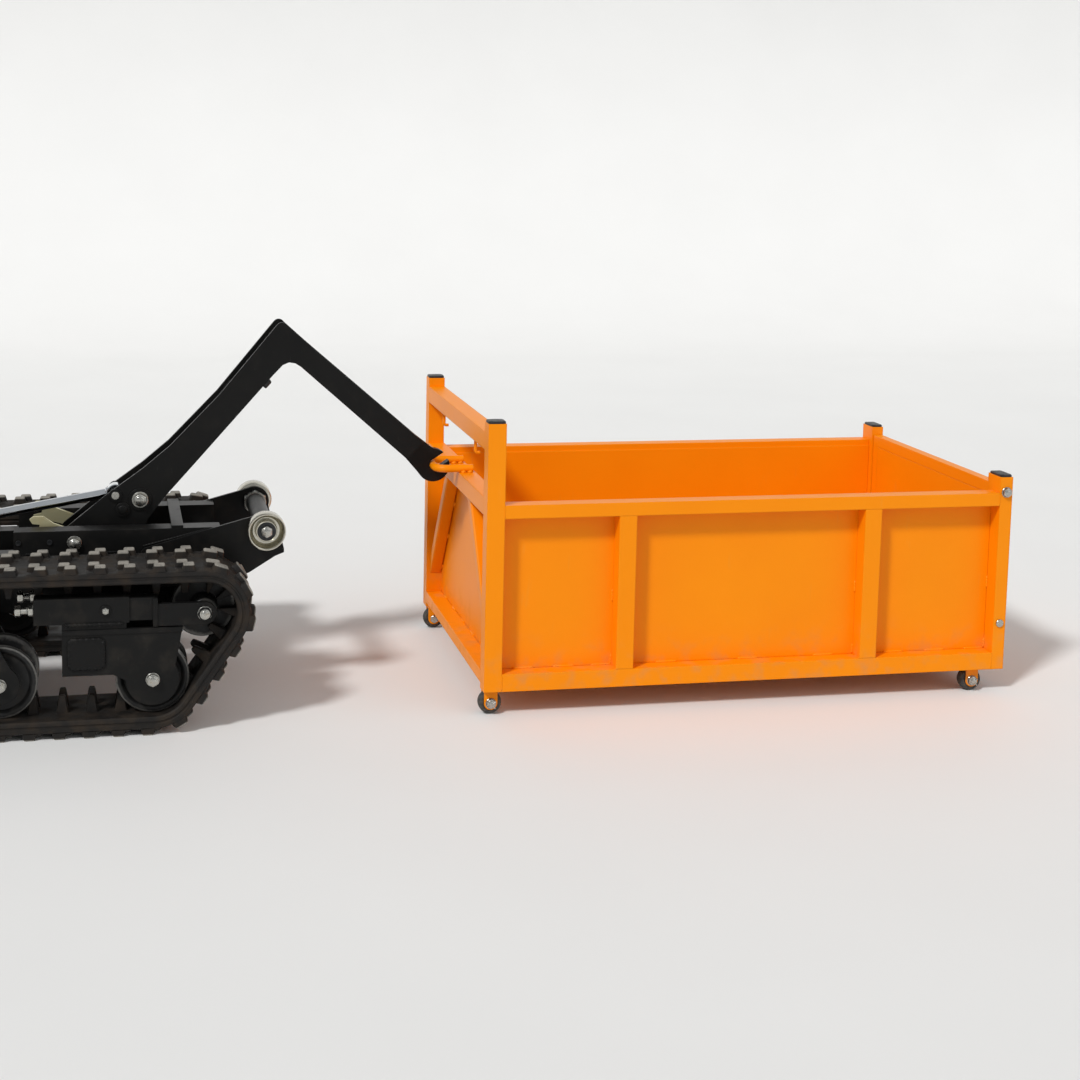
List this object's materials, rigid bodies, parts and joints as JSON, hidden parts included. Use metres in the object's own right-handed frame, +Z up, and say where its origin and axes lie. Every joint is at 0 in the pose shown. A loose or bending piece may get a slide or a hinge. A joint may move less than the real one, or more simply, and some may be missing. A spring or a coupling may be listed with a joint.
{
  "type": "tracked power carrier",
  "caption": "Black tracked hook-lift carrier with a bent lifting arm, hooked to an orange steel roll-off container on small wheels.",
  "frame": {"origin": "middle of the footprint, on the ground", "axes": "+X from the handlebars towards the tailgate, +Y to the left of that, +Z up"},
  "size_m": [3.494, 0.78, 1.0375],
  "materials": {
    "orange_paint": "satin powder coat",
    "black_paint": "satin powder coat",
    "black_wheel_paint": "satin paint with worn rims",
    "track_rubber": "dusty moulded rubber",
    "zinc_bolts": "zinc plated",
    "zinc_rollers": "zinc plated, worn",
    "chrome_rod": "polished hard chrome",
    "cast_iron": "painted casting",
    "engine_aluminium": "rough casting",
    "black_plastic": "moulded",
    "orange_plastic": "moulded",
    "muffler_steel": "heat tinted",
    "grip_rubber": "moulded",
    "wheel_rubber": "moulded",
    "yellow_zinc": "yellow zinc plated",
    "black_knob": "moulded",
    "red_knob": "moulded"
  },
  "bodies": {
    "chassis": {"main_frame": "black_paint", "cross_tubes": "black_paint", "side_plates": "black_paint", "tensioner_tubes": "black_paint", "roller_brackets": "black_paint", "chassis_bolts": "zinc_bolts", "pivot_shaft": "zinc_bolts", "cylinder_bracket": "black_paint", "left_track": "track_rubber", "right_track": "track_rubber", "final_drive": "cast_iron", "engine_deck": "black_paint", "engine_block": "engine_aluminium", "engine_shroud": "black_plastic", "fuel_tank": "orange_plastic", "air_filter": "black_plastic", "muffler": "muffler_steel", "hydraulic_tank": "black_paint", "control_valve": "engine_aluminium", "handlebars": "black_paint", "hand_grips": "grip_rubber"},
    "hook_arm": {"arm_cheeks": "black_paint", "arm_webs": "black_paint", "jib_hook": "black_paint", "arm_bolts": "zinc_bolts"},
    "barrel": {"cylinder_barrel": "black_paint", "cylinder_gland": "black_paint"},
    "rod": {"cylinder_rod": "chrome_rod"},
    "container": {"container_posts": "orange_paint", "container_rails": "orange_paint", "container_panels": "orange_paint", "container_floor": "orange_paint", "front_braces": "orange_paint", "hook_bail": "orange_paint", "post_caps": "black_plastic", "wheel_forks": "orange_paint", "container_bolts": "zinc_bolts"},
    "tailgate": {"tailgate_frame": "orange_paint", "tailgate_panel": "orange_paint"},
    "yoke_right": {"idler_yoke_right": "black_paint"},
    "yoke_left": {"idler_yoke_left": "black_paint"},
    "caster_front_right": {"caster_front_right": "wheel_rubber"},
    "caster_front_left": {"caster_front_left": "wheel_rubber"},
    "caster_rear_right": {"caster_rear_right": "wheel_rubber"},
    "caster_rear_left": {"caster_rear_left": "wheel_rubber"},
    "guide_roller_right": {"guide_roller_right": "zinc_rollers"},
    "guide_roller_left": {"guide_roller_left": "zinc_rollers"},
    "road_roller_right_1": {"road_roller_right_1": "black_wheel_paint"},
    "road_roller_right_2": {"road_roller_right_2": "black_wheel_paint"},
    "road_roller_right_3": {"road_roller_right_3": "black_wheel_paint"},
    "road_roller_left_1": {"road_roller_left_1": "black_wheel_paint"},
    "road_roller_left_2": {"road_roller_left_2": "black_wheel_paint"},
    "road_roller_left_3": {"road_roller_left_3": "black_wheel_paint"},
    "idler_right": {"idler_right": "black_wheel_paint"},
    "idler_left": {"idler_left": "black_wheel_paint"},
    "sprocket_right": {"sprocket_right": "cast_iron"},
    "sprocket_left": {"sprocket_left": "cast_iron"},
    "lock_hooks": {"lock_hooks": "yellow_zinc"},
    "lift_lever": {"lift_lever": "black_knob"},
    "throttle_lever": {"throttle_lever": "red_knob"}
  },
  "joints": [
    {"name": "arm_lift", "type": "hinge", "parent": "chassis", "child": "hook_arm", "pos_m": [-0.343, 0, 0.356], "axis": [0, -1, 0], "range_deg": [0, 130.69]},
    {"name": "barrel_tilt", "type": "hinge", "parent": "chassis", "child": "barrel", "pos_m": [-0.873, 0, 0.34503], "axis": [0, -1, 0], "range_deg": [-10.5, 0]},
    {"name": "rod_slide", "type": "slide", "parent": "barrel", "child": "rod", "axis": [0.9851, 0, 0.1719], "range_m": [-0.1785, 0]},
    {"name": "container_hang", "type": "hinge", "parent": "hook_arm", "child": "container", "pos_m": [0.455, 0, 0.496], "axis": [0, -1, 0], "range_deg": [-130.7, 0]},
    {"name": "tailgate_swing", "type": "hinge", "parent": "container", "child": "tailgate", "pos_m": [1.732, 0, 0.476], "axis": [0, -1, 0], "range_deg": [0, 95]},
    {"name": "caster_front_right_spin", "type": "hinge", "parent": "container", "child": "caster_front_right", "pos_m": [0.527, -0.346, 0.026], "axis": [0, 1, 0], "continuous": true},
    {"name": "caster_front_left_spin", "type": "hinge", "parent": "container", "child": "caster_front_left", "pos_m": [0.527, 0.346, 0.026], "axis": [0, 1, 0], "continuous": true},
    {"name": "caster_rear_right_spin", "type": "hinge", "parent": "container", "child": "caster_rear_right", "pos_m": [1.679, -0.346, 0.026], "axis": [0, 1, 0], "continuous": true},
    {"name": "caster_rear_left_spin", "type": "hinge", "parent": "container", "child": "caster_rear_left", "pos_m": [1.679, 0.346, 0.026], "axis": [0, 1, 0], "continuous": true},
    {"name": "guide_roller_right_spin", "type": "hinge", "parent": "chassis", "child": "guide_roller_right", "pos_m": [0.047, -0.176, 0.387], "axis": [0, 1, 0], "continuous": true},
    {"name": "sprocket_right_spin", "type": "hinge", "parent": "chassis", "child": "sprocket_right", "pos_m": [-0.993, -0.3, 0.258], "axis": [0, 1, 0], "continuous": true},
    {"name": "road_roller_right_1_spin", "type": "hinge", "parent": "chassis", "child": "road_roller_right_1", "pos_m": [-0.209, -0.3, 0.118], "axis": [0, 1, 0], "continuous": true},
    {"name": "road_roller_right_2_spin", "type": "hinge", "parent": "chassis", "child": "road_roller_right_2", "pos_m": [-0.524, -0.3, 0.118], "axis": [0, 1, 0], "continuous": true},
    {"name": "road_roller_right_3_spin", "type": "hinge", "parent": "chassis", "child": "road_roller_right_3", "pos_m": [-0.839, -0.3, 0.118], "axis": [0, 1, 0], "continuous": true},
    {"name": "tension_right_slide", "type": "slide", "parent": "chassis", "child": "yoke_right", "axis": [1, 0, 0], "range_m": [-0.015, 0]},
    {"name": "idler_right_spin", "type": "hinge", "parent": "yoke_right", "child": "idler_right", "pos_m": [-0.1, -0.3, 0.258], "axis": [0, 1, 0], "continuous": true},
    {"name": "guide_roller_left_spin", "type": "hinge", "parent": "chassis", "child": "guide_roller_left", "pos_m": [0.047, 0.176, 0.387], "axis": [0, 1, 0], "continuous": true},
    {"name": "sprocket_left_spin", "type": "hinge", "parent": "chassis", "child": "sprocket_left", "pos_m": [-0.993, 0.3, 0.258], "axis": [0, 1, 0], "continuous": true},
    {"name": "road_roller_left_1_spin", "type": "hinge", "parent": "chassis", "child": "road_roller_left_1", "pos_m": [-0.209, 0.3, 0.118], "axis": [0, 1, 0], "continuous": true},
    {"name": "road_roller_left_2_spin", "type": "hinge", "parent": "chassis", "child": "road_roller_left_2", "pos_m": [-0.524, 0.3, 0.118], "axis": [0, 1, 0], "continuous": true},
    {"name": "road_roller_left_3_spin", "type": "hinge", "parent": "chassis", "child": "road_roller_left_3", "pos_m": [-0.839, 0.3, 0.118], "axis": [0, 1, 0], "continuous": true},
    {"name": "tension_left_slide", "type": "slide", "parent": "chassis", "child": "yoke_left", "axis": [1, 0, 0], "range_m": [-0.015, 0]},
    {"name": "idler_left_spin", "type": "hinge", "parent": "yoke_left", "child": "idler_left", "pos_m": [-0.1, 0.3, 0.258], "axis": [0, 1, 0], "continuous": true},
    {"name": "lock_hooks_swing", "type": "hinge", "parent": "chassis", "child": "lock_hooks", "pos_m": [-0.373, 0, 0.364], "axis": [0, -1, 0], "range_deg": [-30, 0]},
    {"name": "lift_lever_tilt", "type": "hinge", "parent": "chassis", "child": "lift_lever", "pos_m": [-1.51591, -0.05, 0.8705], "axis": [0, 1, 0], "range_deg": [-20, 20], "stiffness_Nm_per_rad": 6},
    {"name": "throttle_lever_tilt", "type": "hinge", "parent": "chassis", "child": "throttle_lever", "pos_m": [-1.51591, 0.05, 0.8705], "axis": [0, 1, 0], "range_deg": [-30, 30]}
  ],
  "couplings": [
    {"joint": "barrel_tilt", "follows": "arm_lift", "ratio": -0.079411},
    {"joint": "rod_slide", "follows": "arm_lift", "m_per_rad": -0.07794},
    {"joint": "container_hang", "follows": "arm_lift", "ratio": -1},
    {"joint": "road_roller_right_1_spin", "follows": "sprocket_right_spin", "ratio": 0.98718},
    {"joint": "road_roller_right_2_spin", "follows": "sprocket_right_spin", "ratio": 0.98718},
    {"joint": "road_roller_right_3_spin", "follows": "sprocket_right_spin", "ratio": 0.98718},
    {"joint": "idler_right_spin", "follows": "sprocket_right_spin", "ratio": 1},
    {"joint": "road_roller_left_1_spin", "follows": "sprocket_left_spin", "ratio": 0.98718},
    {"joint": "road_roller_left_2_spin", "follows": "sprocket_left_spin", "ratio": 0.98718},
    {"joint": "road_roller_left_3_spin", "follows": "sprocket_left_spin", "ratio": 0.98718},
    {"joint": "idler_left_spin", "follows": "sprocket_left_spin", "ratio": 1}
  ]
}
